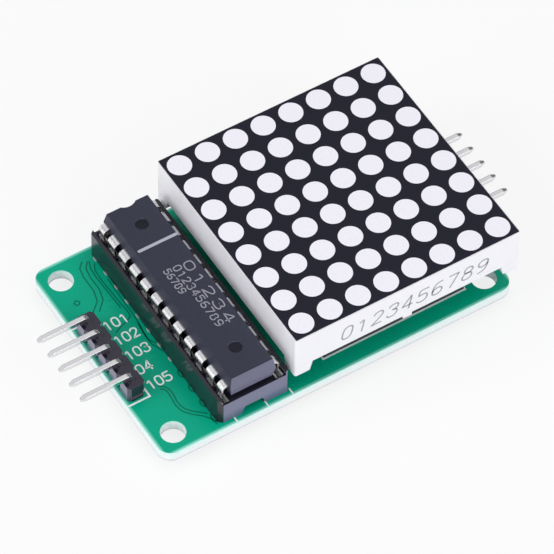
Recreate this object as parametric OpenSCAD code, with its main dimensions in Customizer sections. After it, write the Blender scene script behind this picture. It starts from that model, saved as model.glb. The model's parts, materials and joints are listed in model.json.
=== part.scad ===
// LED dot matrix module: an 8 by 8 display plugged into two low socket strips, and its driver
// chip in a 24-pin socket, on one small circuit board with an angled header at each end.
// The origin is the middle of the four screw holes, on the board's underside. +X runs from the
// input header to the output header, +Y to the end of the chip with its notch, and +Z is up.

/* [Board] */
// Length of the circuit board, along X
board_l = 50; // [49.5:0.1:51]
// Width of the circuit board, along Y
board_w = 32; // [31.5:0.1:34]
// Thickness of the circuit board
board_t = 1.6; // [1:0.1:2]
// Radius of the board's corners
board_corner_r = 1.8; // [0.5:0.1:2.5]
// Diameter of the four screw holes
screw_hole_d = 3.2; // [2.5:0.1:3.4]
// Distance between the screw holes, along X
screw_span_x = 44.5; // [44:0.1:45]
// Distance between the screw holes, along Y
screw_span_y = 26.5; // [26:0.1:27]
// Diameter of the plated holes under the headers
header_hole_d = 1.0; // [0.95:0.01:1.1]
// Diameter of the plated holes under the socket, the strips and the small parts
small_hole_d = 0.8; // [0.7:0.01:0.9]

/* [Display] */
// Side of the square display housing
display_side = 32; // [31.8:0.1:32.2]
// Place of the display's centre along X
display_x = 9.15; // [9.15:0.05:9.3]
// Height of the dot face above the board
face_h = 10.6; // [10:0.1:12]
// Height of the four feet's undersides above the board
foot_h = 3.45; // [3:0.05:4]
// Width of each foot along the housing's edge
foot_w = 2.1; // [1.5:0.1:2.5]
// Widening of each foot towards its top
foot_taper = 0.4; // [0.1:0.05:0.6]
// Thickness of the housing's outer walls
housing_wall = 1.2; // [1:0.1:1.5]
// Radius of the housing's upright edges
housing_edge_r = 0.35; // [0.2:0.05:0.6]
// Thickness of the black film on the face
film_t = 0.12; // [0.1:0.01:0.2]
// White rim left round the film
film_rim = 0.12; // [0.05:0.01:0.2]
// Distance between neighbouring dots
dot_pitch = 4; // [3.9:0.1:4]
// Diameter of a dot at the face
dot_d = 3.1; // [2.8:0.1:3.3]
// Diameter of a cup at its bottom
cup_floor_d = 2.2; // [1.8:0.1:2.6]
// Thickness of the display's own board
display_board_t = 1.4; // [1:0.1:1.6]
// Side of the square LED dice
die_side = 0.35; // [0.25:0.05:0.5]
// Height of the LED dice
die_h = 0.25; // [0.15:0.05:0.3]
// Diameter of the display's round pins
display_pin_d = 0.5; // [0.45:0.01:0.55]
// Length of the display's pins below its own board
display_pin_l = 4.0; // [3:0.1:4.3]
// Distance between the display's two rows of pins
display_row_gap = 24; // [24:0.1:24.2]

/* [Socket strips] */
// Width of a socket strip
strip_w = 2.5; // [2.4:0.05:2.54]
// Height of a socket strip, on which the display sits
strip_h = 5; // [4.8:0.1:5.2]
// Diameter of the pin entries in a strip
strip_entry_d = 0.9; // [0.8:0.05:1]

/* [Chip socket] */
// Gap between the socket and the display
socket_clear = 0.35; // [0.3:0.05:0.8]
// Width of the socket frame
socket_w = 9.8; // [9.7:0.05:10.2]
// Height of the socket's end walls and rails
socket_end_h = 3.5; // [3.4:0.05:3.6]
// Height of the socket's thin side walls
socket_side_h = 4.3; // [4.2:0.1:4.8]
// Thickness of the socket's end walls
socket_end_t = 1.2; // [1:0.1:1.2]
// Width of the open middle between the rails
socket_gap_w = 4.6; // [4:0.1:5]
// Width of the two bars that tie the rails
tie_w = 1.5; // [1:0.1:2]
// Height of the notch under each end wall
foot_notch_h = 1.2; // [0.8:0.1:1.5]
// Width of a contact pocket, across the row
pocket_w = 1.3; // [1.3:0.01:1.4]
// Length of a contact pocket, along the row
pocket_l = 2; // [1.9:0.05:2.1]

/* [Chip] */
// Length of the chip's body at its parting line
chip_l = 29.6; // [29.5:0.1:30.5]
// Place of the body's middle along its rows of leads
chip_y = -0.15; // [-0.3:0.05:0.3]
// Width of the chip's body at its parting line
chip_w = 6.4; // [6.2:0.1:6.6]
// Height of the chip's underside above the board
chip_low_h = 4.0; // [3.9:0.05:4.2]
// Height of the chip's top above the board
chip_top_h = 7.25; // [7.1:0.05:7.4]
// Slope of the chip's moulded sides, in degrees
chip_draft = 10; // [4:1:12]
// Distance between the chip's two rows of leads
lead_row_gap = 7.62; // [7.62:0.01:7.7]
// Height of the leads' flat tops above the board
lead_top_h = 5.75; // [5.6:0.05:5.85]
// Thickness of the chip's leads
lead_t = 0.25; // [0.2:0.01:0.3]
// Width of a lead's shoulder
lead_wide = 1.6; // [1.3:0.1:1.7]
// Width of a lead's lower part
lead_narrow = 0.5; // [0.4:0.05:0.55]
// Inner radius of a lead's bend
lead_bend_r = 0.5; // [0.3:0.05:0.5]
// Angle at which the leads lean in below their bend, in degrees
lead_lean = 3; // [0:0.5:4]
// Width of the notch at the chip's end
notch_w = 2.1; // [1.4:0.1:2.2]
// Depth of the notch at the chip's end
notch_d = 0.4; // [0.3:0.05:0.6]
// Diameter of the two ejector dimples
dimple_d = 1.7; // [1.4:0.1:2]
// Distance of the ejector dimples from the chip's middle
dimple_y = 10.85; // [10:0.05:12]
// Depth of the ejector dimples
dimple_depth = 0.12; // [0.08:0.01:0.2]

/* [Headers] */
// Thickness of a square header pin
pin_w = 0.64; // [0.6:0.01:0.65]
// Height of the pins' level part above the board
pin_axis_h = 3.5; // [3.4:0.05:4]
// Distance from the board's centre to the pins' tips
pin_tip_x = 30.6; // [29:0.1:32]
// Distance from the board's centre to a row of header holes
header_x = 23.4; // [23.4:0.05:23.5]
// Place of the input header's middle pin along Y
input_y = -0.55; // [-0.8:0.05:0.8]
// Place of the output header's middle pin along Y
output_y = -0.25; // [-0.8:0.05:0.8]
// Width of a header's plastic block
block_w = 2.4; // [2.3:0.05:2.54]
// Inner radius of a pin's bend
pin_bend_r = 0.45; // [0.3:0.05:0.6]
// Length of a pin's tapered end
pin_taper_l = 0.6; // [0.4:0.1:0.8]
// Depth of the notches between a block's cells
cell_notch = 0.4; // [0.3:0.05:0.5]

/* [Small parts] */
// Diameter of the round wires
wire_d = 0.5; // [0.4:0.05:0.55]
// Length of the resistor's body
resistor_l = 6.3; // [5.5:0.1:6.5]
// Diameter of the resistor's end caps
resistor_d = 2.3; // [2:0.1:2.4]
// Distance between the resistor's holes
resistor_span = 10.16; // [10.16:0.01:10.2]
// Width of the bypass capacitor
bypass_w = 4; // [3.6:0.1:4.4]
// Thickness of the bypass capacitor
bypass_t = 2.4; // [2:0.1:2.6]
// Height of the bypass capacitor's body
bypass_h = 3.2; // [2.8:0.1:3.4]
// Diameter of the bulk capacitor with its sleeve
bulk_d = 4.1; // [3.9:0.1:4.2]
// Length of the bulk capacitor's can
bulk_l = 7; // [6:0.1:7.5]
// Thickness of the bulk capacitor's sleeve
sleeve_t = 0.1; // [0.08:0.01:0.12]
// Distance between the bulk capacitor's wires
bulk_span = 1.8; // [1.5:0.1:2]

/* [Soldering] */
// Length of the header pins below the board
header_tail = 1.4; // [1.3:0.1:1.6]
// Length of the other leads below the board
small_tail = 1.1; // [1:0.1:1.2]
// Height of a solder fillet below the board
fillet_h = 0.75; // [0.5:0.05:0.85]
// Width of the solder ring on a header's pad
header_pad_d = 1.8; // [1.5:0.1:2]
// Width of the solder ring on a small pad
small_pad_d = 1.5; // [1.2:0.1:1.6]

/* [Hidden] */
$fn = 48;
eps = 0.01;

// Standard grid of the chip, the socket and the headers
pitch = 2.54;
row_pins = round(chip_l / pitch);
strip_pins = 8;
header_pins = 5;
dots = round(display_side / dot_pitch);

// The chip and its socket stand beside the display
chip_x = display_x - display_side / 2 - socket_clear - socket_w / 2;

// Levels, from the board's underside
board_top = board_t;
face_z = board_top + face_h;
housing_top = face_z - film_t;
strip_top = board_top + strip_h;
display_board_top = strip_top + display_board_t;
foot_z = board_top + foot_h;
pin_z = board_top + pin_axis_h;

// Contact strip metal, shared by the chip socket and the display's socket strips
contact_t = 0.2;
contact_l = 1.8;
contact_floor = 0.3;
contact_half = pocket_w / 2 - 0.06;
contact_mouth_half = contact_half - 0.06;
pinch_drop = 0.85;
tail_w = 0.5;
tail_t = 0.25;
socket_contact_h = 3.3;
strip_contact_h = 4.1;
strip_pocket_h = 4.3;

// Moulded details: the socket's corners and the notches under its ends, and the key on the display
socket_corner_left = [0.6, 0.5];
socket_corner_right = [0.2, 0.25];
foot_notch_w = 3.5;
foot_notch_top_w = 2.4;
key_w = 1.3;
key_drop = 0.25;

// Chip body
chip_mid_h = lead_top_h - lead_t / 2;
chip_inset_top = (chip_top_h - chip_mid_h) * tan(chip_draft);
chip_inset_low = (chip_mid_h - chip_low_h) * tan(chip_draft);
notch_x = 0.14;

// Chip leads: the bend's middle lies at bend_x, bend_h, so that the leads cross the row at the contacts' pinch
lead_embed = 1;
end_lead_out = 0.36;
lead_tip_h = 1;
lead_taper_top = 3.6;
lead_taper_low = 2.75;
bend_mid_r = lead_bend_r + lead_t / 2;
bend_h = lead_top_h - lead_t - lead_bend_r;
bend_x = lead_row_gap / 2 - bend_mid_r * cos(lead_lean)
    + lead_below(socket_contact_h - pinch_drop) * sin(lead_lean);

// Places of the small parts between the strips
resistor_at = [display_x, 6.5];
bypass_at = [1.5, -4];
bulk_at = [15, -6.5];
resistor_z = board_top + resistor_d / 2 + 0.1;
bypass_z = board_top + 0.6;
bulk_z = board_top + bulk_d / 2 + 0.05;
wire_bend_r = 0.9;
bulk_lead_reach = 1.6;
bulk_lead_y = bulk_at.y + bulk_l / 2 + bulk_lead_reach;

input_names = [for (i = [1 : header_pins]) str("input_pin_", i)];
output_names = [for (i = [1 : header_pins]) str("output_pin_", i)];
lens_names = [for (i = [1 : dots]) str("lens_row_", i)];

// ---- Where things repeat ----

// Offset of item i in a centred row of n
function along(i, n, step = pitch) = (i - (n - 1) / 2) * step;

// Distance from a lead's bend down its leaning part to the height h
function lead_below(h) = (bend_h - bend_mid_r * sin(lead_lean) - h) / cos(lead_lean);

module each_in_row(n, step = pitch) {
    for (i = [0 : n - 1]) translate([0, along(i, n, step), 0]) children();
}

module at_header(side) {
    translate([side * header_x, side < 0 ? input_y : output_y, 0]) children();
}

module each_socket_pin(side) {
    translate([chip_x + side * lead_row_gap / 2, 0, board_top]) each_in_row(row_pins) children();
}

module each_strip_pin(side) {
    translate([display_x, side * display_row_gap / 2, board_top])
        rotate([0, 0, -90]) each_in_row(strip_pins) children();
}

module each_dot_in_row(row) {
    for (i = [0 : dots - 1])
        translate([display_x + along(i, dots, dot_pitch), -along(row, dots, dot_pitch), 0]) children();
}

module each_small_hole() {
    for (s = [-1, 1]) {
        translate([resistor_at.x + s * resistor_span / 2, resistor_at.y, 0]) children();
        translate([bypass_at.x + s * pitch / 2, bypass_at.y, 0]) children();
        translate([bulk_at.x + s * bulk_span / 2, bulk_lead_y, 0]) children();
    }
}

// ---- Shared shapes ----

// Flat slab with round corners, standing on the XY plane
module rounded_slab(l, w, t, r) {
    linear_extrude(t) {
        square([l - 2 * r, w], center = true);
        square([l, w - 2 * r], center = true);
        for (sx = [-1, 1], sy = [-1, 1])
            translate([sx * (l / 2 - r), sy * (w / 2 - r)]) circle(r);
    }
}

// Four-sided taper from w at its foot to w / 2 at its tip, pointing up
module square_taper(w, h) {
    profile = [[-w / 2, 0], [w / 2, 0], [w / 4, h], [-w / 4, h]];
    intersection() {
        rotate([90, 0, 0]) linear_extrude(w, center = true) polygon(profile);
        rotate([90, 0, 90]) linear_extrude(w, center = true) polygon(profile);
    }
}

// Round wire that comes in level along +X at height z and turns down to the height low at x = 0
module bent_wire(z, low, reach) {
    translate([-reach, 0, z]) rotate([0, 90, 0]) cylinder(d = wire_d, h = reach - wire_bend_r);
    translate([-wire_bend_r, 0, z - wire_bend_r]) rotate([90, 0, 0])
        rotate_extrude(angle = 90) translate([wire_bend_r, 0]) circle(d = wire_d);
    translate([0, 0, low]) cylinder(d = wire_d, h = z - wire_bend_r - low);
}

// Formed contact: a U of strip metal whose two leaves pinch a pin of half-thickness grip
module two_leaf_contact(grip, h) {
    pinch = h - pinch_drop;
    knee = 1.2;
    low = contact_floor;
    leaf = [[contact_half, low], [contact_half, knee], [grip + contact_t, pinch], [contact_mouth_half, h]];
    leaf_inside = [for (p = [leaf[3], leaf[2], leaf[1]]) [p.x - contact_t, p.y]];
    half = concat(leaf, leaf_inside, [[contact_half - contact_t, low + contact_t]]);
    whole = concat(half, [for (i = [len(half) - 1 : -1 : 0]) [-half[i].x, half[i].y]]);
    rotate([90, 0, 0]) linear_extrude(contact_l, center = true) polygon(whole);
    translate([-tail_t / 2, -tail_w / 2, -board_t - small_tail])
        cube([tail_t, tail_w, board_t + small_tail + low]);
}

// Space for one contact: an open pocket, and a slot in its floor for the tail
module contact_pocket(top) {
    translate([-pocket_w / 2, -pocket_l / 2, contact_floor]) cube([pocket_w, pocket_l, top - contact_floor]);
    translate([-tail_t / 2, -tail_w / 2, -eps]) cube([tail_t, tail_w, contact_floor + 2 * eps]);
}

// ---- Circuit board ----

module circuit_board() {
    color([0.08, 0.62, 0.49]) difference() {
        rounded_slab(board_l, board_w, board_t, board_corner_r);
        for (sx = [-1, 1], sy = [-1, 1])
            translate([sx * screw_span_x / 2, sy * screw_span_y / 2, -eps])
                cylinder(d = screw_hole_d, h = board_t + 2 * eps);
        for (side = [-1, 1]) {
            at_header(side) each_in_row(header_pins) drilled(header_hole_d);
            translate([0, 0, -board_top]) {
                each_socket_pin(side) drilled(small_hole_d);
                each_strip_pin(side) drilled(small_hole_d);
            }
        }
        each_small_hole() drilled(small_hole_d);
    }
}

module drilled(d) {
    translate([0, 0, -eps]) cylinder(d = d, h = board_t + 2 * eps);
}

// ---- Chip socket ----

module socket_frame() {
    socket_l = row_pins * pitch;
    color([0.1, 0.1, 0.12]) difference() {
        translate([chip_x, 0, board_top]) difference() {
            union() {
                translate([-socket_w / 2, -socket_l / 2, 0]) cube([socket_w, socket_l, socket_end_h]);
                for (side = [-1, 1])
                    translate([side * (socket_w - socket_side_t()) / 2, 0, socket_side_h / 2])
                        cube([socket_side_t(), socket_l, socket_side_h], center = true);
            }
            socket_openings(socket_l - 2 * socket_end_t);
            for (end = [-1, 1]) translate([0, end * socket_l / 2, 0]) foot_notch();
            for (sx = [-1, 1], sy = [-1, 1])
                translate([sx * socket_w / 2, sy * socket_l / 2, -eps]) scale([sx, sy, 1])
                    corner_cut(sx < 0 ? socket_corner_left : socket_corner_right);
        }
        for (side = [-1, 1]) each_socket_pin(side) contact_pocket(socket_end_h + eps);
    }
}

function socket_side_t() = (socket_w - lead_row_gap - pocket_w) / 2;

// Three windows between the rails, left open between the end walls and the two ties
module socket_openings(inside_l) {
    window_l = (inside_l - 2 * tie_w) / 3;
    for (i = [0 : 2])
        translate([0, along(i, 3, window_l + tie_w), socket_end_h / 2])
            cube([socket_gap_w, window_l, socket_end_h + 2 * eps], center = true);
}

// Prism that takes off one upright corner
module corner_cut(cut) {
    linear_extrude(socket_side_h + 2 * eps)
        polygon([[eps, eps], [-cut.x, eps], [-cut.x, 0], [0, -cut.y], [eps, -cut.y]]);
}

module foot_notch() {
    rotate([90, 0, 0]) linear_extrude(2 * socket_end_t + 2 * eps, center = true)
        polygon([
            [-foot_notch_w / 2, -eps], [foot_notch_w / 2, -eps],
            [foot_notch_top_w / 2, foot_notch_h], [-foot_notch_top_w / 2, foot_notch_h]]);
}

module socket_contacts(side) {
    color([0.78, 0.78, 0.76]) each_socket_pin(side)
        two_leaf_contact(lead_t / 2 / cos(lead_lean), socket_contact_h);
}

// ---- Driver chip ----

// Side view of the moulded body: half length at the parting line, drawn in by the draft above and below
module draft_profile(half) {
    polygon([
        [-half, chip_mid_h], [-half + chip_inset_top, chip_top_h],
        [half - chip_inset_top, chip_top_h], [half, chip_mid_h],
        [half - chip_inset_low, chip_low_h], [-half + chip_inset_low, chip_low_h]]);
}

module chip_body() {
    top_end = chip_l / 2 - chip_inset_top;
    notch_r = (pow(notch_w / 2, 2) + pow(notch_d, 2)) / (2 * notch_d);
    color([0.26, 0.27, 0.33]) difference() {
        translate([chip_x, 0, board_top]) difference() {
            translate([0, chip_y, 0]) intersection() {
                rotate([90, 0, 0]) linear_extrude(chip_l, center = true) draft_profile(chip_w / 2);
                rotate([90, 0, 90]) linear_extrude(chip_w, center = true) draft_profile(chip_l / 2);
            }
            translate([notch_x, chip_y + top_end + notch_r - notch_d, chip_mid_h])
                cylinder(r = notch_r, h = chip_top_h - chip_mid_h + eps);
            for (end = [-1, 1])
                translate([0, end * dimple_y, chip_top_h - dimple_depth])
                    cylinder(d = dimple_d, h = dimple_depth + eps);
        }
        for (side = [-1, 1]) chip_leads_at(side, lead_root);
    }
}

// Draws each lead of one row, with the end leads cut narrow on their outer side
module chip_leads_at(side, shape) {
    translate([chip_x, 0, board_top]) for (i = [0 : row_pins - 1])
        translate([0, along(i, row_pins), 0]) scale([side, 1, 1]) {
            low = i == 0 ? end_lead_out : lead_wide / 2;
            high = i == row_pins - 1 ? end_lead_out : lead_wide / 2;
            if (shape == lead_root) lead_root_shape(low, high);
            else lead_shape(low, high);
        }
}

lead_root = "root";
lead_whole = "whole";

// The flat stretch of a lead, from inside the body to the bend
module lead_root_shape(low, high) {
    inner = chip_w / 2 - lead_embed;
    translate([inner, -low, lead_top_h - lead_t]) cube([bend_x - inner, low + high, lead_t]);
}

module lead_shape(low, high) {
    foot = lead_narrow / 2;
    tip = -lead_below(lead_tip_h);
    taper_top = -lead_below(lead_taper_top);
    taper_low = -lead_below(lead_taper_low);
    lead_root_shape(low, high);
    translate([bend_x, high, bend_h]) rotate([90, 0, 0])
        rotate_extrude(angle = 90 + lead_lean, start = -lead_lean)
            translate([lead_bend_r, 0]) square([lead_t, low + high]);
    translate([bend_x, 0, bend_h]) rotate([0, lead_lean, 0]) translate([lead_bend_r, 0, 0])
        rotate([90, 0, 90]) linear_extrude(lead_t)
            polygon([
                [-low, 0], [-low, taper_top], [-foot, taper_low], [-foot, tip + 0.2],
                [-foot / 2, tip], [foot / 2, tip], [foot, tip + 0.2],
                [foot, taper_low], [high, taper_top], [high, 0]]);
}

module chip_leads(side) {
    color([0.85, 0.85, 0.86]) chip_leads_at(side, lead_whole);
}

// ---- Headers ----

// Plan of a row of joined cells, notched on both sides between each two cells
module cell_row_plan(n, w) {
    function edge(side) = [for (i = [0 : n]) let (y = along(i, n + 1)) each
        (i == 0 ? [[side * (w / 2 - cell_notch), y], [side * w / 2, y + cell_notch]]
        : i == n ? [[side * w / 2, y - cell_notch], [side * (w / 2 - cell_notch), y]]
        : [[side * w / 2, y - cell_notch], [side * (w / 2 - cell_notch), y],
           [side * w / 2, y + cell_notch]])];
    left = edge(-1);
    polygon(concat(edge(1), [for (i = [len(left) - 1 : -1 : 0]) left[i]]));
}

module header_block(side) {
    color([0.13, 0.12, 0.16]) at_header(side) translate([0, 0, board_top]) difference() {
        linear_extrude(pitch) cell_row_plan(header_pins, block_w);
        each_in_row(header_pins) translate([0, 0, pitch / 2])
            cube([pin_w, pin_w, pitch + 2 * eps], center = true);
    }
}

// Square pin that rises through the block and bends outwards, tapered at both ends
module header_pin(side, i) {
    bend = pin_bend_r + pin_w / 2;
    reach = pin_tip_x - header_x;
    color([0.8, 0.8, 0.82]) at_header(side) translate([0, along(i, header_pins), 0])
        scale([side, 1, 1]) {
            translate([-pin_w / 2, -pin_w / 2, pin_taper_l - header_tail])
                cube([pin_w, pin_w, pin_z - bend + header_tail - pin_taper_l]);
            translate([0, 0, pin_taper_l - header_tail]) rotate([180, 0, 0]) square_taper(pin_w, pin_taper_l);
            translate([bend, pin_w / 2, pin_z - bend]) rotate([90, 0, 0])
                rotate_extrude(angle = 90, start = 90) translate([pin_bend_r, 0]) square(pin_w);
            translate([bend, -pin_w / 2, pin_z - pin_w / 2]) cube([reach - bend - pin_taper_l, pin_w, pin_w]);
            translate([reach - pin_taper_l, 0, pin_z]) rotate([0, 90, 0]) square_taper(pin_w, pin_taper_l);
        }
}

// ---- Display ----

module display_housing() {
    inside = display_side - 2 * housing_wall;
    color([0.95, 0.95, 0.97]) {
        difference() {
            translate([display_x, 0, strip_top])
                rounded_slab(display_side, display_side, housing_top - strip_top, housing_edge_r);
            translate([display_x, 0, (strip_top + display_board_top) / 2 - eps])
                cube([inside, inside, display_board_t + 2 * eps], center = true);
            for (row = [0 : dots - 1]) each_dot_in_row(row) cup();
        }
        translate([display_x, (housing_wall - display_side) / 2, strip_top - key_drop])
            cube([key_w, housing_wall, 2 * key_drop + eps], center = true);
    }
}

// The four corners of the housing's wall that reach lower than the rest
module display_feet() {
    inside = display_side - 2 * housing_wall;
    low_half = display_side / 2 - foot_w;
    high_half = low_half - foot_taper;
    feet_l = strip_top - foot_z;
    color([0.95, 0.95, 0.97]) translate([display_x, 0, foot_z]) difference() {
        rounded_slab(display_side, display_side, feet_l, housing_edge_r);
        translate([0, 0, feet_l / 2]) cube([inside, inside, feet_l + 2 * eps], center = true);
        for (a = [0, 90]) rotate([90, 0, a])
            linear_extrude(display_side + 2 * eps, center = true)
                polygon([[-low_half, -eps], [low_half, -eps], [low_half, 0], [high_half, feet_l],
                         [high_half, feet_l + eps], [-high_half, feet_l + eps], [-high_half, feet_l],
                         [-low_half, 0]]);
    }
}

module cup() {
    translate([0, 0, display_board_top])
        cylinder(d1 = cup_floor_d, d2 = dot_d, h = housing_top - display_board_top);
}

module display_film() {
    film_side = display_side - 2 * film_rim;
    color([0.2, 0.2, 0.24]) difference() {
        translate([display_x, 0, housing_top + film_t / 2]) cube([film_side, film_side, film_t], center = true);
        for (row = [0 : dots - 1]) each_dot_in_row(row)
            translate([0, 0, housing_top - eps]) cylinder(d = dot_d, h = film_t + 2 * eps);
    }
}

// Clear filling of one row of cups, with a pocket round each die
module lens_row(row) {
    color([0.96, 0.95, 0.99]) each_dot_in_row(row) difference() {
        union() {
            cup();
            translate([0, 0, housing_top]) cylinder(d = dot_d, h = film_t);
        }
        translate([0, 0, display_board_top]) cube([die_side, die_side, 2 * die_h], center = true);
    }
}

module led_dice() {
    color([0.75, 0.7, 0.45]) for (row = [0 : dots - 1]) each_dot_in_row(row)
        translate([0, 0, display_board_top + die_h / 2]) cube([die_side, die_side, die_h], center = true);
}

module display_board() {
    inside = display_side - 2 * housing_wall;
    color([0.2, 0.45, 0.3]) difference() {
        translate([display_x, 0, strip_top + display_board_t / 2])
            cube([inside, inside, display_board_t], center = true);
        for (side = [-1, 1]) each_strip_pin(side)
            translate([0, 0, strip_h - eps]) cylinder(d = display_pin_d, h = display_board_t + 2 * eps);
    }
}

module display_pins(side) {
    tip = 0.3;
    color([0.82, 0.82, 0.8]) each_strip_pin(side) translate([0, 0, strip_h - display_pin_l]) {
        translate([0, 0, tip]) cylinder(d = display_pin_d, h = display_pin_l + display_board_t - tip);
        cylinder(d1 = display_pin_d / 2, d2 = display_pin_d, h = tip);
    }
}

// ---- Socket strips under the display ----

module strip_body(side) {
    strip_l = strip_pins * pitch;
    color([0.1, 0.1, 0.12]) difference() {
        translate([display_x, side * display_row_gap / 2, board_top + strip_h / 2])
            cube([strip_l, strip_w, strip_h], center = true);
        each_strip_pin(side) {
            rotate([0, 0, 90]) contact_pocket(strip_pocket_h);
            cylinder(d = strip_entry_d, h = strip_h + eps);
        }
    }
}

module strip_contacts(side) {
    color([0.8, 0.76, 0.6]) each_strip_pin(side) rotate([0, 0, 90])
        two_leaf_contact(display_pin_d / 2, strip_contact_h);
}

// ---- Small parts between the strips ----

module resistor_body() {
    cap_l = 1.2;
    r = resistor_d / 2;
    waist = r - 0.2;
    half = resistor_l / 2;
    color([0.35, 0.6, 0.75]) translate([resistor_at.x, resistor_at.y, resistor_z]) rotate([0, 90, 0])
        rotate_extrude() polygon([
            [0, -half], [r - 0.3, -half], [r, -half + 0.3], [r, -half + cap_l], [waist, -half + cap_l + 0.3],
            [waist, half - cap_l - 0.3], [r, half - cap_l], [r, half - 0.3], [r - 0.3, half], [0, half]]);
}

module resistor_leads() {
    color([0.8, 0.8, 0.8]) for (s = [-1, 1])
        translate([resistor_at.x + s * resistor_span / 2, resistor_at.y, 0]) scale([s, 1, 1])
            bent_wire(resistor_z, -small_tail, (resistor_span - resistor_l) / 2);
}

module bypass_capacitor_body() {
    color([0.85, 0.6, 0.2]) translate([bypass_at.x, bypass_at.y + bypass_t / 2, bypass_z + bypass_h / 2])
        rotate([90, 0, 0]) rounded_slab(bypass_w, bypass_h, bypass_t, 0.6);
}

module bypass_capacitor_leads() {
    color([0.8, 0.8, 0.8]) for (s = [-1, 1])
        translate([bypass_at.x + s * pitch / 2, bypass_at.y, -small_tail])
            cylinder(d = wire_d, h = bypass_z + small_tail);
}

// Turns a piece drawn along +Z so that it lies along +Y at the bulk capacitor's place
module bulk_axis() {
    translate([bulk_at.x, bulk_at.y, bulk_z]) rotate([-90, 0, 0]) children();
}

bulk_r = bulk_d / 2 - sleeve_t;
seal_t = 1.2;

module bulk_capacitor_can() {
    color([0.75, 0.76, 0.78]) bulk_axis() difference() {
        translate([0, 0, -bulk_l / 2]) cylinder(r = bulk_r, h = bulk_l);
        translate([0, 0, bulk_l / 2 - seal_t]) cylinder(r = bulk_r - 0.3, h = seal_t + eps);
    }
}

module bulk_capacitor_seal() {
    color([0.15, 0.15, 0.15]) bulk_axis() difference() {
        translate([0, 0, bulk_l / 2 - seal_t]) cylinder(r = bulk_r - 0.3, h = seal_t);
        for (s = [-1, 1])
            translate([s * bulk_span / 2, 0, bulk_l / 2 - seal_t - eps]) cylinder(d = wire_d, h = seal_t + 2 * eps);
    }
}

module bulk_capacitor_sleeve() {
    color([0.12, 0.14, 0.3]) bulk_axis() difference() {
        translate([0, 0, -bulk_l / 2 - sleeve_t]) cylinder(d = bulk_d, h = bulk_l + sleeve_t);
        translate([0, 0, -bulk_l / 2]) cylinder(r = bulk_r, h = bulk_l + eps);
        translate([0, 0, -bulk_l / 2 - 2 * sleeve_t]) cylinder(r = bulk_r - 0.5, h = bulk_l);
    }
}

module bulk_capacitor_leads() {
    reach = bulk_lead_y - (bulk_at.y + bulk_l / 2 - seal_t);
    color([0.8, 0.8, 0.8]) for (s = [-1, 1])
        translate([bulk_at.x + s * bulk_span / 2, bulk_lead_y, 0]) rotate([0, 0, 90])
            bent_wire(bulk_z, -small_tail, reach);
}

// ---- Solder joints ----

// Solder that fills a plated hole and draws in to the lead below the board
module solder_joint(hole_d, pad_d, tip_d) {
    rotate_extrude() polygon([
        [0, board_top], [hole_d / 2, board_top], [hole_d / 2, 0], [pad_d / 2, 0],
        [pad_d / 2 - 0.08, -0.15 * fillet_h], [(pad_d + tip_d) / 4, -0.4 * fillet_h],
        [tip_d / 2, -fillet_h], [0, -fillet_h]]);
}

module solder_header(side) {
    color([0.75, 0.76, 0.78]) at_header(side) each_in_row(header_pins) difference() {
        solder_joint(header_hole_d, header_pad_d, pin_w * 1.5);
        cube([pin_w, pin_w, 4 * board_t], center = true);
    }
}

module tail_joint(turn) {
    difference() {
        translate([0, 0, -board_top]) solder_joint(small_hole_d, small_pad_d, tail_w * 1.4);
        rotate([0, 0, turn]) cube([tail_t, tail_w, 4 * board_t], center = true);
    }
}

module solder_socket() {
    color([0.75, 0.76, 0.78]) for (side = [-1, 1]) each_socket_pin(side) tail_joint(0);
}

module solder_strips() {
    color([0.75, 0.76, 0.78]) for (side = [-1, 1]) each_strip_pin(side) tail_joint(90);
}

module solder_small_parts() {
    color([0.75, 0.76, 0.78]) each_small_hole() difference() {
        solder_joint(small_hole_d, small_pad_d, wire_d * 1.3);
        cylinder(d = wire_d, h = 4 * board_t, center = true);
    }
}

circuit_board();
socket_frame();
socket_contacts(-1);  // socket_contacts_left
socket_contacts(1);  // socket_contacts_right
chip_body();
chip_leads(-1);  // chip_leads_left
chip_leads(1);  // chip_leads_right
header_block(-1);  // input_header_block
header_block(1);  // output_header_block
for (i = [0 : header_pins - 1]) {
    header_pin(-1, i);
    header_pin(1, i);
}
display_housing();
display_feet();
display_film();
for (row = [0 : dots - 1])
    lens_row(row);
led_dice();
display_board();
display_pins(-1);  // display_pins_front
display_pins(1);  // display_pins_back
strip_body(-1);  // strip_body_front
strip_body(1);  // strip_body_back
strip_contacts(-1);  // strip_contacts_front
strip_contacts(1);  // strip_contacts_back
resistor_body();
resistor_leads();
bypass_capacitor_body();
bypass_capacitor_leads();
bulk_capacitor_can();
bulk_capacitor_seal();
bulk_capacitor_sleeve();
bulk_capacitor_leads();
solder_header(-1);  // solder_input_header
solder_header(1);  // solder_output_header
solder_socket();
solder_strips();
solder_small_parts();
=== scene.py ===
"""The looks of the LED dot matrix module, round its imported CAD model.

Lengths are in millimetres, in the model's own frame, and become metres where an object is made.
"""

import json
import math
from dataclasses import dataclass

import bmesh
import bpy
from mathutils import Matrix, Vector


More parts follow.
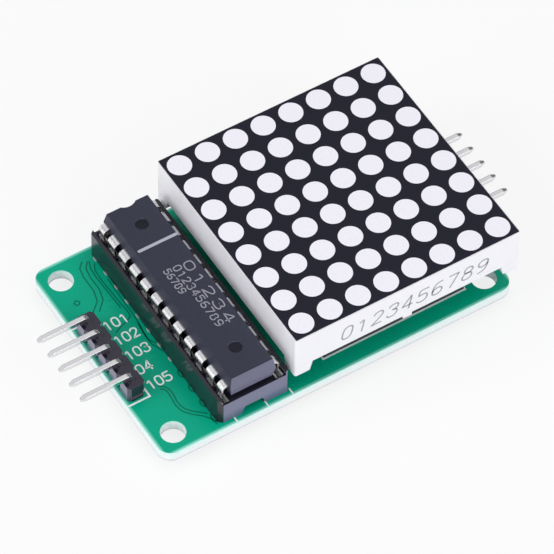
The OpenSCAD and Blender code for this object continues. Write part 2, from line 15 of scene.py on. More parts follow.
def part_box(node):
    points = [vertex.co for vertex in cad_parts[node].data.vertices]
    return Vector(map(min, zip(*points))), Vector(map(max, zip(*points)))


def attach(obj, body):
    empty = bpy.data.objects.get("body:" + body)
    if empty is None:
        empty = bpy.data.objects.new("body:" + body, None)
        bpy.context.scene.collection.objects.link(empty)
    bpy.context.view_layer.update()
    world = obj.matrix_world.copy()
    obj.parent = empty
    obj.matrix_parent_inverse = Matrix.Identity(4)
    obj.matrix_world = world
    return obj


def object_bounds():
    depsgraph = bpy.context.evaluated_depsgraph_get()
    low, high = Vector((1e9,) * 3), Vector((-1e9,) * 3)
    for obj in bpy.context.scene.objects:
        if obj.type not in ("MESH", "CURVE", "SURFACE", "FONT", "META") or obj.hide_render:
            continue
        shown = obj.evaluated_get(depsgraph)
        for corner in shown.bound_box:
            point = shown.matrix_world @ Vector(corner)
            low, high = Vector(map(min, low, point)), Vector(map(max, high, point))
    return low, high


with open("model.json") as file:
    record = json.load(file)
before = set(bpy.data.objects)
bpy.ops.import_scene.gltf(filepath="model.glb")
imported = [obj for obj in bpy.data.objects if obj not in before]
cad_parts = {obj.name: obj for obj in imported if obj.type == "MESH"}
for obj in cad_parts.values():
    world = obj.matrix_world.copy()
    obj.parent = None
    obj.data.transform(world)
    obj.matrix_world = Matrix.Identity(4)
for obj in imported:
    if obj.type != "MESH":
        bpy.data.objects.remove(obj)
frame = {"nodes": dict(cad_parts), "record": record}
cad_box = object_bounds()

MM = 0.001
PITCH = 2.54  # from pin to pin


def box_mm(node):
    """A CAD node's lowest and highest corners."""
    low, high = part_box(node)
    return low / MM, high / MM


def middle_mm(node):
    low, high = box_mm(node)
    return (low + high) / 2


board_low, board_high = box_mm("circuit_board")
chip_low, chip_high = box_mm("chip_body")

# ---- Procedural surfaces ----


def srgb(red, green, blue):
    """A colour given as 0 to 255 display values, in linear light."""
    return tuple((value / 255) ** 2.2 for value in (red, green, blue))


class Surface:
    """A material with uneven colour, uneven gloss and a fine grain, on which patterns can be painted.

    spread    how far the colour strays from the given one, as a share of it
    mottle    blotches of colour per millimetre
    grain     grains per millimetre, and depth the height of one
    stretch   below 1 along an axis, the grain runs along that axis
    edge      radius to which the edges look rounded
    """

    GLOSS_SWING = 0.06
    GRAIN_MIDDLE = (0.3, 0.7)
    COAT_ROUGHNESS = 0.1
    BLOTCH_DETAIL = 3
    GRAIN_DETAIL = 4

    def __init__(self, name, colour, roughness, *, spread=0.05, mottle=0.25, grain=5.0, depth=0.003,
                 stretch=(1, 1, 1), edge=0.0, metallic=0.0, coat=0.0, specular=0.5):
        self.material = bpy.data.materials.new(name)
        self.material.use_nodes = True
        self.tree = self.material.node_tree
        self.shader = self.tree.nodes["Principled BSDF"]
        self.shader.inputs["Metallic"].default_value = metallic
        self.shader.inputs["Coat Weight"].default_value = coat
        self.shader.inputs["Coat Roughness"].default_value = self.COAT_ROUGHNESS
        self.shader.inputs["Specular IOR Level"].default_value = specular

        in_mm = self.node("ShaderNodeVectorMath", operation="SCALE")
        in_mm.inputs["Scale"].default_value = 1 / MM
        self.join(self.node("ShaderNodeTexCoord").outputs["Object"], in_mm.inputs[0])
        self.place = in_mm.outputs[0]

        blotches = self.noise(self.place, mottle, self.BLOTCH_DETAIL)
        dark, light = (tuple(min(1, value * (1 + side * spread)) for value in colour) for side in (-1, 1))
        self.colour = self.blend(blotches, self.rgb(dark), self.rgb(light))
        self.join(self.colour, self.shader.inputs["Base Color"])

        stretched = self.node("ShaderNodeVectorMath", operation="MULTIPLY")
        stretched.inputs[1].default_value = stretch
        self.join(self.place, stretched.inputs[0])
        grains = self.noise(stretched.outputs[0], grain, self.GRAIN_DETAIL)
        gloss = self.ranged(grains, *self.GRAIN_MIDDLE,
                            max(0, roughness - self.GLOSS_SWING), roughness + self.GLOSS_SWING)
        self.join(gloss, self.shader.inputs["Roughness"])

        bump = self.node("ShaderNodeBump")
        bump.inputs["Distance"].default_value = depth * MM
        self.join(grains, bump.inputs["Height"])
        self.join(bump.outputs[0], self.shader.inputs["Normal"])
        if edge:
            bevel = self.node("ShaderNodeBevel", samples=4)
            bevel.inputs["Radius"].default_value = edge * MM
            self.join(bevel.outputs[0], bump.inputs["Normal"])

    def node(self, kind, **settings):
        node = self.tree.nodes.new(kind)
        for key, value in settings.items():
            setattr(node, key, value)
        return node

    def join(self, source, target):
        self.tree.links.new(source, target)

    def rgb(self, colour):
        node = self.node("ShaderNodeRGB")
        node.outputs[0].default_value = (*colour, 1)
        return node.outputs[0]

    def noise(self, place, scale, detail):
        node = self.node("ShaderNodeTexNoise")
        node.inputs["Scale"].default_value = scale
        node.inputs["Detail"].default_value = detail
        self.join(place, node.inputs["Vector"])
        return node.outputs["Fac"]

    def ranged(self, value, low, high, to_low, to_high):
        """The value, led from low..high to to_low..to_high and held there beyond."""
        node = self.node("ShaderNodeMapRange")
        for key, number in zip(("From Min", "From Max", "To Min", "To Max"), (low, high, to_low, to_high)):
            node.inputs[key].default_value = number
        self.join(value, node.inputs["Value"])
        return node.outputs[0]

    def math(self, operation, *terms):
        node = self.node("ShaderNodeMath", operation=operation)
        for socket, term in zip(node.inputs, terms):
            if isinstance(term, (int, float)):
                socket.default_value = term
            else:
                self.join(term, socket)
        return node.outputs[0]

    def blend(self, factor, first, second):
        node = self.node("ShaderNodeMix", data_type="RGBA")
        self.join(factor, node.inputs["Factor"])
        self.join(first, node.inputs["A"])
        self.join(second, node.inputs["B"])
        return node.outputs["Result"]

    def axes(self, vector):
        node = self.node("ShaderNodeSeparateXYZ")
        self.join(vector, node.inputs[0])
        return node.outputs

    def facing(self, axis):
        """How squarely the surface faces along an axis, either way: 0 to 1."""
        normal = self.axes(self.node("ShaderNodeNewGeometry").outputs["Normal"])
        return self.math("ABSOLUTE", normal[axis])

    def paint(self, mask, colour):
        """Lays another colour over the present one where mask is 1."""
        self.colour = self.blend(mask, self.colour, self.rgb(colour))
        self.join(self.colour, self.shader.inputs["Base Color"])


def solder_mask():
    """Green above and below, paler along the outline; bare laminate round the edges and in the holes."""
    rim_from, rim_to, rim_share = 0.05, 0.42, 0.8
    mask = Surface("solder_mask", srgb(6, 167, 133), 0.3, mottle=0.12, grain=3.0, depth=0.002,
                   specular=0.14)
    x, y, z = mask.axes(mask.place)
    inset = mask.math("MINIMUM", mask.math("SUBTRACT", board_high.x, mask.math("ABSOLUTE", x)),
                      mask.math("SUBTRACT", board_high.y, mask.math("ABSOLUTE", y)))
    mask.paint(mask.ranged(inset, rim_from, rim_to, rim_share, 0.0), srgb(170, 245, 228))

    upright = mask.math("LESS_THAN", mask.facing("Z"), 0.5)
    near_top = mask.ranged(z, board_high.z - 0.4, board_high.z - 0.05, 0, 1)
    near_foot = mask.ranged(z, board_low.z + 0.35, board_low.z + 0.1, 0, 1)
    mask.paint(upright, srgb(232, 242, 241))
    mask.paint(mask.math("MULTIPLY", upright, near_top), srgb(190, 244, 234))
    mask.paint(mask.math("MULTIPLY", upright, near_foot), srgb(216, 208, 218))
    return mask


def chip_moulding():
    """Matt and nearly black, with both ends painted paler as painted light, and two dimples painted darker
    as painted shade.
    """
    dimple_y = 10.85
    dimple_r = 0.84
    moulding = Surface("chip_moulding", srgb(56, 57, 71), 0.5, spread=0.1, mottle=1.5, grain=14.0,
                       depth=0.008, edge=0.06, specular=0.25)
    # Painted light: the faces along y, the chip's ends, are painted paler, as if lit from the front.
    moulding.paint(moulding.ranged(moulding.facing("Y"), 0.6, 0.8, 0, 1), srgb(108, 108, 130))
    x, y, _ = moulding.axes(moulding.place)
    from_dimple = (moulding.math("SUBTRACT", x, (chip_low.x + chip_high.x) / 2),
                   moulding.math("SUBTRACT", moulding.math("ABSOLUTE", y), dimple_y))
    squares = [moulding.math("MULTIPLY", term, term) for term in from_dimple]
    in_dimple = moulding.math("LESS_THAN", moulding.math("ADD", *squares), dimple_r ** 2)
    # Painted shade: the dimples are painted darker for the shade in their depth, and partly for their
    # glossier floors.
    moulding.paint(in_dimple, srgb(30, 31, 42))
    return moulding


def socket_moulding():
    """Glossy and nearly black, with the ends painted paler as painted light."""
    moulding = Surface("socket_moulding", srgb(36, 36, 46), 0.2, spread=0.1, grain=4.0, edge=0.06)
    # Painted light: the end faces are painted paler, as if lit from the front.
    moulding.paint(moulding.ranged(moulding.facing("Y"), 0.8, 0.95, 0, 1), srgb(104, 106, 134))
    return moulding


def header_moulding():
    """Glossy and nearly black, with both sides painted paler as painted light."""
    moulding = Surface("header_moulding", srgb(42, 38, 54), 0.12, spread=0.1, grain=4.0, edge=0.08)
    # Painted light: the faces along x, both sides, are painted paler, as if lit.
    moulding.paint(moulding.ranged(moulding.facing("X"), 0.6, 0.9, 0, 1), srgb(100, 100, 124))
    return moulding


def resistor_coat():
    """Pale blue lacquer with five colour bands."""
    band_w = 0.45
    brown, black, red = (120, 70, 30), (20, 20, 20), (190, 40, 30)
    coat = Surface("resistor_coat", srgb(96, 150, 180), 0.3, grain=1.5, depth=0.01, coat=0.4)
    along = coat.axes(coat.place)[0]
    middle = middle_mm("resistor_body").x
    for offset, colour in ((-2.0, brown), (-0.9, black), (0.0, black), (0.9, red), (2.1, brown)):
        in_band = coat.math("COMPARE", along, middle + offset, band_w / 2)
        coat.paint(in_band, srgb(*colour))
    return coat


def sleeve_film():
    """Dark blue film with a pale stripe along one side."""
    stripe_share = 0.18
    film = Surface("sleeve_film", srgb(26, 32, 74), 0.25, grain=2.0, depth=0.004, coat=0.3)
    low, high = box_mm("bulk_capacitor_sleeve")
    in_stripe = film.math("LESS_THAN", film.axes(film.place)[0], low.x + stripe_share * (high.x - low.x))
    film.paint(in_stripe, srgb(190, 196, 206))
    return film


SLOT_SURFACES = {
    "board_laminate": solder_mask(),
    "chip_moulding": chip_moulding(),
    "resistor_coat": resistor_coat(),
    "sleeve_film": sleeve_film(),
    "black_moulding": Surface("black_moulding", srgb(46, 44, 58), 0.16, spread=0.1, grain=4.0, edge=0.08),
    "white_moulding": Surface("white_moulding", srgb(240, 240, 245), 0.42, spread=0.015, grain=3.0,
                              edge=0.1),
    "clear_filling": Surface("milky_resin", srgb(247, 245, 254), 0.3, spread=0.008, mottle=0.5, grain=2.0,
                             depth=0.001),
    "black_film": Surface("black_film", srgb(34, 34, 47), 0.42, spread=0.08, mottle=0.4, grain=9.0,
                          depth=0.002, specular=0.2),
    "contact_metal": Surface("contact_metal", srgb(240, 240, 238), 0.3, metallic=0.6, grain=7.0,
                             stretch=(1, 1, 0.3)),
    "lead_metal": Surface("lead_metal", srgb(230, 230, 232), 0.26, metallic=1, grain=7.0,
                          stretch=(1, 1, 0.3), edge=0.04),
    "pin_metal": Surface("pin_metal", srgb(226, 226, 228), 0.14, metallic=1, grain=9.0, depth=0.002,
                         stretch=(0.12, 1, 1), edge=0.14),
    "solder": Surface("solder", srgb(205, 207, 210), 0.28, metallic=1, grain=3.0, depth=0.01),
    "die": Surface("die", srgb(196, 184, 120), 0.2, grain=8.0),
    "rear_laminate": Surface("rear_laminate", srgb(52, 108, 78), 0.55, grain=6.0, depth=0.005,
                             stretch=(1, 0.3, 1)),
    "ceramic_coat": Surface("ceramic_coat", srgb(214, 150, 48), 0.22, grain=1.2, depth=0.02, coat=0.5),
    "can_metal": Surface("can_metal", srgb(200, 202, 205), 0.3, metallic=1, grain=6.0, stretch=(1, 0.1, 1)),
    "seal_rubber": Surface("seal_rubber", srgb(30, 30, 31), 0.7, grain=9.0, depth=0.008),
}

header_surface = header_moulding()
NODE_SURFACES = {
    "socket_frame": socket_moulding(),
    "input_header_block": header_surface,
    "output_header_block": header_surface,
}

for part in frame["record"]["subparts"]:
    surface = NODE_SURFACES.get(part["node"], SLOT_SURFACES[part["material_slot"]])
    for slot in frame["nodes"][part["node"]].material_slots:
        slot.material = surface.material

# ---- Drawing thin flat marks ----


class Plane:
    """A face to draw on: a point on it, the direction of writing and the direction of the writing's top."""

    def __init__(self, origin, along, up):
        self.origin, self.along, self.up = Vector(origin), Vector(along), Vector(up)
        self.out = self.along.cross(self.up)

    def point(self, x, y, height):
        return (self.origin + self.along * x + self.up * y + self.out * height) * MM


def rounded(points, closed=False, rounds=2):
    """Cuts the corners of a line again and again, so that it turns smoothly."""
    for _ in range(rounds):
        pairs = zip(points, points[1:] + points[:1] if closed else points[1:])
        cut = []
        for first, second in pairs:
            first, second = Vector(first), Vector(second)
            cut += [first.lerp(second, 0.25), first.lerp(second, 0.75)]
        points = cut if closed else [Vector(points[0]), *cut[1:-1], Vector(points[-1])]
    return points


def line_sides(points, width, closed):
    """Both sides of a flat line of the given width, mitred where it turns."""
    sharpest_mitre = 0.4
    points = [Vector(point) for point in points]
    count = len(points)
    left, right = [], []
    for i, point in enumerate(points):
        before = points[i - 1] if i or closed else None
        after = points[(i + 1) % count] if i < count - 1 or closed else None
        arms = [(b - a).normalized() for a, b in ((before, point), (point, after)) if a and b]
        mean = sum(arms, Vector((0, 0))).normalized()
        reach = width / 2 / max(sharpest_mitre, mean.dot(arms[0]))
        across = Vector((-mean.y, mean.x)) * reach
        left.append(point + across)
        right.append(point - across)
    return left, right


def round_end(points, width, steps=5):
    """Points of the half circle that closes a line at its last point."""
    last, before = Vector(points[-1]), Vector(points[-2])
    heading = (last - before).normalized()
    side = Vector((-heading.y, heading.x))
    angles = [math.pi * i / steps for i in range(1, steps)]
    return [last + (side * math.cos(a) + heading * math.sin(a)) * width / 2 for a in angles]


def add_plate(mesh, plane, ring, thickness):
    """A flat plate with the given outline, standing on the plane."""
    low = [mesh.verts.new(plane.point(*point, 0)) for point in ring]
    high = [mesh.verts.new(plane.point(*point, thickness)) for point in ring]
    mesh.faces.new(high)
    mesh.faces.new(low[::-1])
    for i, (a, b) in enumerate(zip(low, high)):
        following = (i + 1) % len(ring)
        mesh.faces.new((a, low[following], high[following], b))


def add_line(mesh, plane, points, width, thickness, closed=False):
    """A flat line along the points, as one strip with round ends."""
    left, right = line_sides(points, width, closed)
    rows = [[mesh.verts.new(plane.point(*point, height)) for point in side]
            for side, height in ((right, 0), (right, thickness), (left, thickness), (left, 0))]
    count = len(points)
    for i in range(count if closed else count - 1):
        following = (i + 1) % count
        for row, beside in zip(rows, rows[1:] + rows[:1]):
            mesh.faces.new((row[i], row[following], beside[following], beside[i]))
    if not closed:
        last_cap = [left[-1], *round_end(points, width), right[-1]]
        first_cap = [right[0], *round_end(points[::-1], width), left[0]]
        for cap in (last_cap, first_cap):
            add_plate(mesh, plane, cap[::-1], thickness)


def add_ring(mesh, plane, centre, radii, thickness, stretch=0.0, steps=28):
    """A flat ring, drawn out along x to an oval by half the stretch to each side."""
    inner, outer = radii
    middle_r = (inner + outer) / 2
    turns = [2 * math.pi * i / steps for i in range(steps)]
    points = [(centre[0] + math.cos(a) * middle_r + math.copysign(stretch / 2, math.cos(a)),
               centre[1] + math.sin(a) * middle_r) for a in turns]
    add_line(mesh, plane, points, outer - inner, thickness, closed=True)


def rectangle(low_x, low_y, high_x, high_y):
    return [(low_x, low_y), (high_x, low_y), (high_x, high_y), (low_x, high_y)]


# Each digit is one or two lines in a box DIGIT_W wide and 1 high, with True where a line is closed
DIGIT_W = 0.6
LOWER_RING = [(0.15, 0), (0.45, 0), (0.6, 0.15), (0.6, 0.38), (0.45, 0.54), (0.15, 0.54), (0, 0.38),
              (0, 0.15)]
UPPER_RING = [(0.17, 0.54), (0.43, 0.54), (0.56, 0.68), (0.56, 0.86), (0.43, 1), (0.17, 1), (0.04, 0.86),
              (0.04, 0.68)]
DIGITS = {
    "0": [([(0.15, 0), (0.45, 0), (0.6, 0.2), (0.6, 0.8), (0.45, 1), (0.15, 1), (0, 0.8), (0, 0.2)], True)],
    "1": [([(0.1, 0.78), (0.34, 1), (0.34, 0)], False)],
    "2": [([(0.02, 0.8), (0.12, 1), (0.5, 1), (0.62, 0.72), (0.45, 0.45), (0, 0), (0.1, 0), (0.6, 0)],
           False)],
    "3": [([(0.02, 0.86), (0.14, 1), (0.5, 1), (0.62, 0.78), (0.5, 0.55), (0.26, 0.54), (0.52, 0.53),
            (0.64, 0.26), (0.5, 0), (0.12, 0), (0, 0.16)], False)],
    "4": [([(0.46, 0), (0.46, 1), (0.42, 1), (0, 0.3), (0.04, 0.28), (0.62, 0.28)], False)],
    "5": [([(0.56, 1), (0.08, 1), (0.04, 0.95), (0.02, 0.56), (0.1, 0.58), (0.45, 0.62), (0.62, 0.42),
            (0.6, 0.14), (0.42, 0), (0.12, 0), (0, 0.12)], False)],
    "6": [(LOWER_RING, True), ([(0, 0.34), (0, 0.66), (0.16, 0.96), (0.48, 1)], False)],
    "7": [([(0, 1), (0.56, 1), (0.6, 0.98), (0.24, 0)], False)],
    "8": [(LOWER_RING, True), (UPPER_RING, True)],
    "9": [([(DIGIT_W - x, 1 - y) for x, y in LOWER_RING], True),
          ([(0.6, 0.66), (0.6, 0.34), (0.44, 0.04), (0.12, 0)], False)],
}


@dataclass
class Lettering:
    """How numbers are written; slant is how far a digit's top leans on, as a share of its height."""

    pitch: float
    width: float
    height: float
    stroke: float
    thickness: float
    slant: float = 0.0

    def write(self, mesh, plane, number, start):
        for place, digit in enumerate(number):
            left = start[0] + place * self.pitch
            for points, closed in DIGITS[digit]:
                line = [(left + x / DIGIT_W * self.width + self.slant * y * self.height,
                         start[1] + y * self.height) for x, y in rounded(points, closed)]
                add_line(mesh, plane, line, self.stroke, self.thickness, closed)


# ---- Printing and copper on the circuit board ----

BOARD_TOP = Plane((0, 0, board_high.z), (1, 0, 0), (0, 1, 0))
BOARD_UNDER = Plane((0, 0, board_low.z), (-1, 0, 0), (0, 1, 0))  # its x runs from right to left
PRINT_T = 0.015
MASK_T = 0.008
SILK_W = 0.24

# Inner and outer radii of pads, of the rims that show round solder, and of dark rings in the copper
SOCKET_PAD = (0.42, 0.8)
SMALL_PAD = (0.42, 0.75)
SMALL_RIM = (0.7, 0.88)
HEADER_RIM = (0.85, 1.03)
PAD_GAP = (0.75, 0.95)
VIA_GAP = (0.24, 0.42)

SOCKET_ROW_PINS = 12
STRIP_PINS = 8
HEADER_PINS = 5
LEAD_ROW_GAP = 7.62
RESISTOR_SPAN = 10.16
SMALL_LEAD_R = 0.25


def spaced(count, middle=0.0):
    """Places one pitch apart, on both sides of the middle."""
    return [middle + (i - (count - 1) / 2) * PITCH for i in range(count)]


socket_x = [middle_mm("socket_frame").x + side * LEAD_ROW_GAP / 2 for side in (-1, 1)]
socket_y = spaced(SOCKET_ROW_PINS)
socket_holes = [(x, y) for x in socket_x for y in socket_y]

strip_middles = [middle_mm("strip_body_" + side) for side in ("front", "back")]
strip_holes = [(x, middle.y) for middle in strip_middles for x in spaced(STRIP_PINS, middle.x)]

header_middles = [middle_mm(side + "_header_block") for side in ("input", "output")]
header_holes = [(middle.x, y) for middle in header_middles for y in spaced(HEADER_PINS, middle.y)]

resistor = middle_mm("resistor_body")
bypass = middle_mm("bypass_capacitor_leads")
bulk_low, bulk_high = box_mm("bulk_capacitor_leads")
small_holes = [
    *((resistor.x + side * RESISTOR_SPAN / 2, resistor.y) for side in (-1, 1)),
    *((bypass.x + side * PITCH / 2, bypass.y) for side in (-1, 1)),
    *((x, bulk_high.y - SMALL_LEAD_R) for x in (bulk_low.x + SMALL_LEAD_R, bulk_high.x - SMALL_LEAD_R)),
]

# In front of this line the socket's pads are shorter, and the left row's have a dark ring round them
SHORT_PADS_Y = -4.5

# Narrow gaps between the board's copper areas, which show dark through the mask
TRACE_GAPS = [
    [(-18.6, 14.4), (-19.6, 13.4), (-19.6, 8.65), (-21.3, 7.1)],
    [(-18.0, 14.1), (-18.9, 13.0), (-18.9, 8.5), (-20.6, 6.8)],
    [(-17.8, 14.0), (-18.3, 12.7), (-18.2, 8.4), (-18.1, 6.0)],
    [(-17.4, 13.4), (-18.0, 12.2), (-17.8, 7.1), (-17.6, 4.5), (-18.0, 4.0), (-19.7, 3.4), (-20.5, 3.0)],
    [(-17.2, 10.5), (-17.3, 6.8), (-17.3, 3.6), (-17.8, 0.4), (-17.4, -0.5), (-17.0, -1.0)],
    [(-17.5, 2.8), (-17.8, -0.5), (-17.4, -1.3), (-17.1, -2.3)],
    [(-20.2, -6.6), (-19.45, -7.15), (-19.3, -8.4), (-19.6, -10.0), (-19.15, -11.4), (-17.3, -13.05)],
    [(-20.25, -7.0), (-19.75, -7.5), (-19.8, -8.7), (-20.0, -10.35), (-19.5, -11.7), (-17.4, -13.6),
     (-17.1, -15.0)],
]
TRACE_GAP_W = 0.17
VIA = (-22.3, 9.3)


def draw_header_numbers(mesh):
    """A number beside each input pin, the fourth a digit shorter."""
    lettering = Lettering(pitch=1.15, width=0.82, height=1.35, stroke=0.21, thickness=PRINT_T)
    label_x = -21.3
    for label, foot_y in (("101", 3.75), ("102", 1.2), ("103", -1.4), ("04", -3.9), ("105", -6.5)):
        lettering.write(mesh, BOARD_TOP, label, (label_x, foot_y))


def draw_silk_lines(mesh):
    """Outlines round the headers and the display's strips, and three ticks by the front edge."""
    clear = 0.3
    clear_in_front = 0.375
    low, high = box_mm("input_header_block")
    open_left = rectangle(low.x - clear, low.y - clear_in_front, high.x + clear, high.y + clear)
    add_line(mesh, BOARD_TOP, open_left, SILK_W, PRINT_T)

    low, high = box_mm("output_header_block")
    around = rectangle(low.x - clear, low.y - clear, high.x + clear, high.y + clear)
    add_line(mesh, BOARD_TOP, around, SILK_W, PRINT_T, closed=True)

    half_l = STRIP_PINS / 2 * PITCH + 0.1
    half_w = PITCH / 2 + 0.14
    for middle in strip_middles:
        around = rectangle(middle.x - half_l, middle.y - half_w, middle.x + half_l, middle.y + half_w)
        add_line(mesh, BOARD_TOP, around, SILK_W, PRINT_T, closed=True)

    tick_w = 0.2
    tick_low, tick_high = board_low.y + 0.12, board_low.y + 0.98
    for tick_x in (-14.85, -10.45, -6.95):
        add_line(mesh, BOARD_TOP, [(tick_x, tick_low), (tick_x, tick_high)], tick_w, PRINT_T)


def draw_trace_gaps(mesh):
    for gap_line in TRACE_GAPS:
        add_line(mesh, BOARD_TOP, rounded(gap_line, rounds=1), TRACE_GAP_W, MASK_T)
    for pad_y in socket_y:
        if pad_y < SHORT_PADS_Y:
            add_ring(mesh, BOARD_TOP, (socket_x[0], pad_y), PAD_GAP, MASK_T, stretch=1.0)
    add_ring(mesh, BOARD_TOP, VIA, VIA_GAP, MASK_T)


def draw_pads_above(mesh):
    """Oval pads of the socket and round ones of the small parts."""
    for hole in socket_holes:
        stretch = 0.86 if hole[1] > SHORT_PADS_Y else 0.4
        add_ring(mesh, BOARD_TOP, hole, SOCKET_PAD, PRINT_T, stretch)
    for hole in small_holes:
        add_ring(mesh, BOARD_TOP, hole, SMALL_PAD, PRINT_T)


def draw_pads_under(mesh):
    """The rims of the pads, which show round the solder."""
    for x, y in (*socket_holes, *strip_holes, *small_holes):
        add_ring(mesh, BOARD_UNDER, (-x, y), SMALL_RIM, PRINT_T)
    for x, y in header_holes:
        add_ring(mesh, BOARD_UNDER, (-x, y), HEADER_RIM, PRINT_T)


# ---- Marks on the chip and on the display's front wall ----

CHIP_TOP = Plane((0, 0, chip_high.z), (0, -1, 0), (1, 0, 0))  # read from the chip's side, notch to the left
FRONT_WALL = Plane((0, box_mm("display_housing")[0].y, 0), (1, 0, 0), (0, 0, 1))
MARK_T = 0.01


def draw_chip_numbers(mesh):
    """Three lines of counting numbers, a large one and two smaller ones below it."""
    large = Lettering(pitch=2.25, width=1.35, height=1.2, stroke=0.16, thickness=MARK_T)
    medium = Lettering(pitch=1.07, width=0.7, height=1.0, stroke=0.15, thickness=MARK_T)
    small = Lettering(pitch=0.85, width=0.58, height=0.9, stroke=0.15, thickness=MARK_T)
    large.write(mesh, CHIP_TOP, "01234", (-3.1, -11.05))
    medium.write(mesh, CHIP_TOP, "0123456789", (-3.2, -12.4))
    small.write(mesh, CHIP_TOP, "56789", (-3.3, -13.65))


def draw_chip_line(mesh):
    """The painted line across the chip, towards the end with the notch."""
    line_at = -7.4
    line_w = 0.42
    ends = [(line_at, chip_low.x + 0.75), (line_at, chip_high.x - 0.45)]
    add_line(mesh, CHIP_TOP, ends, line_w, MARK_T)


def draw_wall_numbers(mesh):
    # The numbers are moulded into the white wall; their grey is painted shade, standing in for the shade in
    # the relief.
    lettering = Lettering(pitch=2.15, width=1.35, height=2.2, stroke=0.24, thickness=0.005, slant=0.2)
    lettering.write(mesh, FRONT_WALL, "0123456789", (-0.4, 7.8))


# ---- The pieces ----


def add_to_scene(name, data):
    thing = bpy.data.objects.new(name, data)
    bpy.context.scene.collection.objects.link(thing)
    return thing


def make_piece(name, draw, surface):
    """Draws a piece, which rides with the module and takes the given surface's finish."""
    mesh = bmesh.new()
    draw(mesh)
    bmesh.ops.recalc_face_normals(mesh, faces=mesh.faces)
    data = bpy.data.meshes.new(name)
    mesh.to_mesh(data)
    mesh.free()
    data.materials.append(surface.material)
    piece = add_to_scene(name, data)
    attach(piece, "root")


ink = Surface("printed_ink", srgb(244, 254, 250), 0.5, spread=0.04, mottle=1.0, grain=10.0, depth=0.004)
# Painted shade: grey for the wall's moulded numbers.
relief_shade_grey = Surface("relief_shade_grey", srgb(158, 158, 164), 0.5, spread=0.1, mottle=2.0, grain=10.0)
laser_mark = Surface("laser_mark", srgb(150, 150, 162), 0.6, spread=0.15, mottle=3.0, grain=12.0)
white_paint = Surface("white_paint", srgb(176, 177, 190), 0.5, spread=0.06, mottle=2.0, grain=10.0)
copper_gap = Surface("copper_gap", srgb(4, 112, 86), 0.3, spread=0.08, specular=0.14)
tin = Surface("tinned_pad", srgb(220, 226, 222), 0.35, metallic=0.5, grain=3.0, depth=0.006)

make_piece("header_numbers", draw_header_numbers, ink)
make_piece("silk_lines", draw_silk_lines, ink)
make_piece("trace_gaps", draw_trace_gaps, copper_gap)
make_piece("pads_above", draw_pads_above, tin)
make_piece("pads_under", draw_pads_under, tin)
make_piece("chip_numbers", draw_chip_numbers, laser_mark)
make_piece("chip_line", draw_chip_line, white_paint)
make_piece("wall_numbers", draw_wall_numbers, relief_shade_grey)

# ---- Camera, light and floor ----

CAMERA_AT = Vector((-210.45, -323.61, 512.32))
CAMERA_RIGHT = Vector((0.8491, -0.5280, 0.0164)).normalized()
CAMERA_UP = Vector((0.4127, 0.6825, 0.6032)).normalized()
CAMERA_FORWARD = Vector((0.3297, 0.5054, -0.7975)).normalized()

camera = add_to_scene("camera", bpy.data.cameras.new("camera"))
camera.data.lens = 339.8
camera.data.sensor_width = 36
turn = Matrix((CAMERA_RIGHT, CAMERA_UP, -CAMERA_FORWARD)).transposed()
camera.matrix_world = Matrix.Translation(CAMERA_AT * MM) @ turn.to_4x4()
bpy.context.scene.camera = camera
bpy.context.scene.view_settings.view_transform = "Standard"


def add_lamp(name, place_m, power, size_m):
    """A square soft lamp aimed at the module."""
    target_m = Vector((0, 0, 0.005))
    light = bpy.data.lights.new(name, "AREA")
    light.energy = power
    light.size = size_m
    lamp = add_to_scene(name, light)
    lamp.location = place_m
    lamp.rotation_euler = (target_m - Vector(place_m)).to_track_quat("-Z", "Y").to_euler()


add_lamp("front_softbox", (0.12, -0.62, 0.36), 2.3, 0.6)
add_lamp("left_softbox", (-0.65, 0.1, 0.4), 2.7, 0.5)


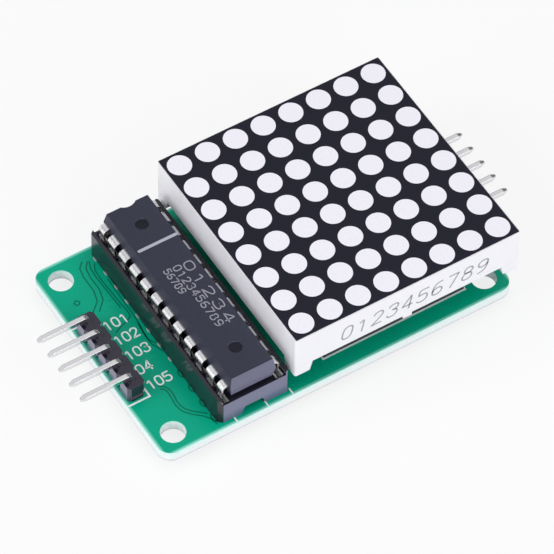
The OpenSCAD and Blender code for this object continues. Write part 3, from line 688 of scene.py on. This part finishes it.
def light_room():
    """A room that is white to the camera, and for metal edges has a greyer band below its ceiling."""
    shades = ((0.0, 1.0), (0.12, 1.0), (0.32, 0.22), (0.64, 0.22), (0.78, 0.85), (1.0, 0.85))
    world = bpy.data.worlds.new("studio")
    bpy.context.scene.world = world
    world.use_nodes = True
    tree = world.node_tree
    background = tree.nodes["Background"]
    background.inputs["Color"].default_value = (0.98, 0.98, 1, 1)

    direction = tree.nodes.new("ShaderNodeTexCoord")
    split = tree.nodes.new("ShaderNodeSeparateXYZ")
    height = tree.nodes.new("ShaderNodeValToRGB")
    for i, (level, shade) in enumerate(shades):
        stop = height.color_ramp.elements[i] if i < 2 else height.color_ramp.elements.new(level)
        stop.position = level
        stop.color = (shade, shade, shade, 1)
    rays = tree.nodes.new("ShaderNodeLightPath")
    strength = tree.nodes.new("ShaderNodeMath")
    strength.operation = "MAXIMUM"
    tree.links.new(direction.outputs["Generated"], split.inputs[0])
    tree.links.new(split.outputs["Z"], height.inputs["Fac"])
    tree.links.new(height.outputs[0], strength.inputs[0])
    tree.links.new(rays.outputs["Is Camera Ray"], strength.inputs[1])
    tree.links.new(strength.outputs[0], background.inputs["Strength"])


def seen_directly(tree):
    """1 for rays from the camera, mirrors and clear things, 0 for the light that falls on the module."""
    rays = tree.nodes.new("ShaderNodeLightPath")
    total = rays.outputs["Is Camera Ray"]
    for ray in ("Is Glossy Ray", "Is Transmission Ray"):
        node = tree.nodes.new("ShaderNodeMath")
        node.operation = "MAXIMUM"
        tree.links.new(total, node.inputs[0])
        tree.links.new(rays.outputs[ray], node.inputs[1])
        total = node.outputs[0]
    return total


def pale_floor():
    """A matt floor that glows white where it is seen, but keeps the module's soft shadow."""
    glow_share = 0.8
    material = bpy.data.materials.new("floor")
    material.use_nodes = True
    tree = material.node_tree
    tree.nodes.remove(tree.nodes["Principled BSDF"])
    matt = tree.nodes.new("ShaderNodeBsdfDiffuse")
    matt.inputs["Color"].default_value = (0.88, 0.88, 0.88, 1)
    glow = tree.nodes.new("ShaderNodeEmission")
    both = tree.nodes.new("ShaderNodeMixShader")
    share = tree.nodes.new("ShaderNodeMath")
    share.operation = "MULTIPLY"
    share.inputs[1].default_value = glow_share
    tree.links.new(seen_directly(tree), share.inputs[0])
    tree.links.new(share.outputs[0], both.inputs[0])
    tree.links.new(matt.outputs[0], both.inputs[1])
    tree.links.new(glow.outputs[0], both.inputs[2])
    tree.links.new(both.outputs[0], tree.nodes["Material Output"].inputs["Surface"])
    return material


def lay_floor():
    """A floor under the lowest pins."""
    half_size_m = 3
    mesh = bmesh.new()
    bmesh.ops.create_grid(mesh, x_segments=2, y_segments=2, size=half_size_m)
    data = bpy.data.meshes.new("floor")
    mesh.to_mesh(data)
    mesh.free()
    data.materials.append(pale_floor())
    floor = add_to_scene("floor", data)
    floor.location.z = cad_box[0].z


light_room()
lay_floor()
